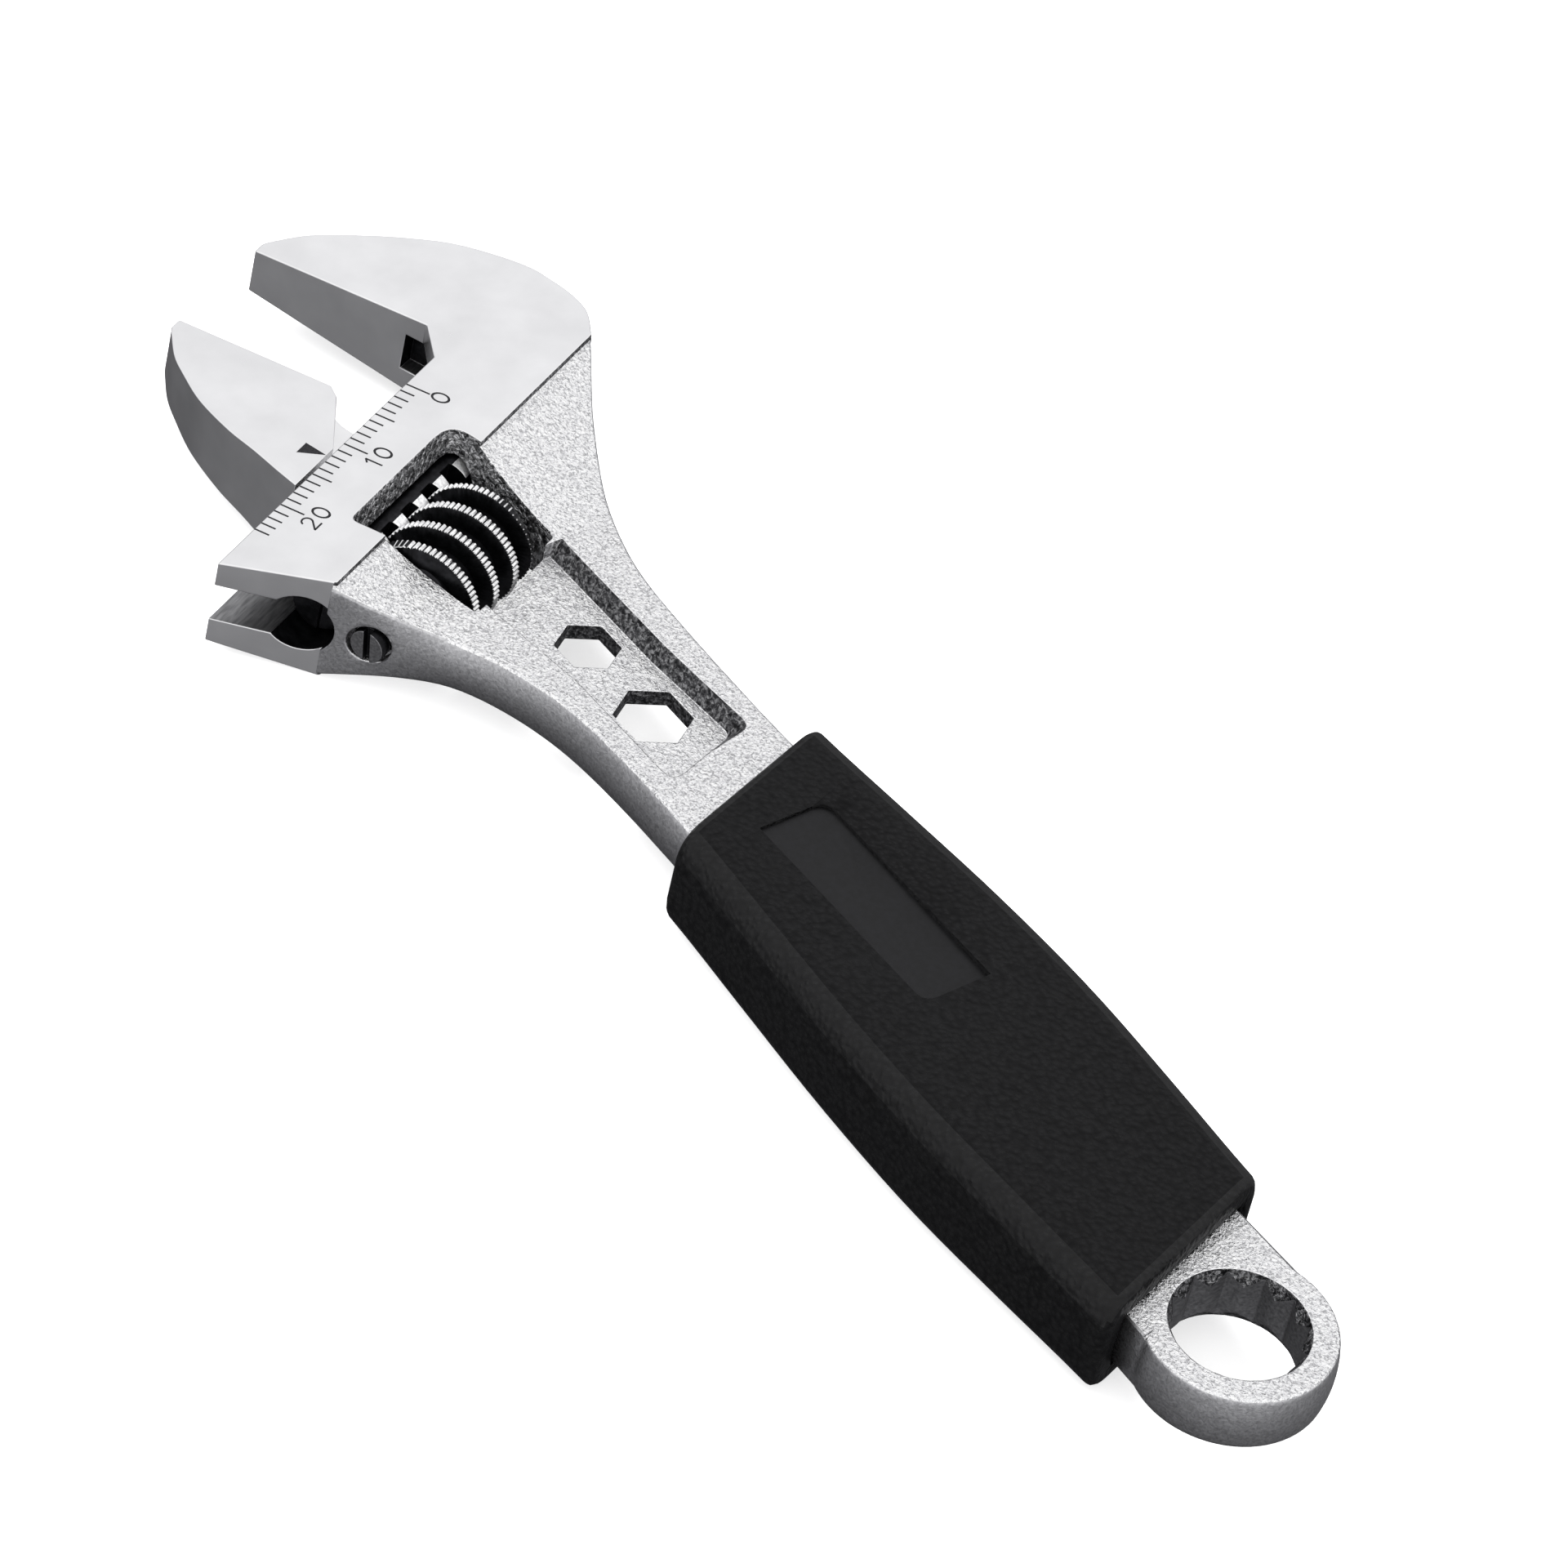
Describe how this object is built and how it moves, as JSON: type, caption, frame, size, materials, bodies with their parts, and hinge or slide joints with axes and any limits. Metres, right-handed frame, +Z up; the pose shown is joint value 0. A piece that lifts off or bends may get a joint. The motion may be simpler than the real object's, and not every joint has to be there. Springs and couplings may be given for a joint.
{
  "type": "adjustable wrench",
  "caption": "Adjustable wrench with a sliding jaw driven by a worm, a millimetre scale, a thin neck with hexagon holes, a ring end and a soft grip.",
  "frame": {"origin": "middle of the underside of the wrench as it lies flat", "axes": "+X along the handle towards the ring, +Y across it on the fixed jaw's side, +Z up out of the wide face that carries the scale"},
  "size_m": [0.1498, 0.047, 0.0109],
  "materials": {
    "chromed_steel": "satin on the ground faces, blasted on the neck",
    "blackened_steel": "oil blackened",
    "spring_steel": "plain",
    "grip_rubber": "fine leather grain"
  },
  "bodies": {
    "handle": {"wrench_body": "chromed_steel", "worm_pin": "blackened_steel", "worm_spring": "spring_steel", "handle_grip": "grip_rubber"},
    "jaw": {"movable_jaw": "chromed_steel"},
    "worm": {"adjusting_worm": "blackened_steel"}
  },
  "joints": [
    {"name": "jaw_slide", "type": "slide", "parent": "handle", "child": "jaw", "axis": [0.3827, -0.9239, 0], "range_m": [-0.0119, 0.012]},
    {"name": "worm_spin", "type": "hinge", "parent": "handle", "child": "worm", "pos_m": [-0.03572, -0.00278, 0.00544], "axis": [0.3827, -0.9239, 0], "range_deg": [-1360, 1360]}
  ],
  "couplings": [
    {"joint": "worm_spin", "follows": "jaw_slide", "rad_per_m": -1975.8}
  ]
}
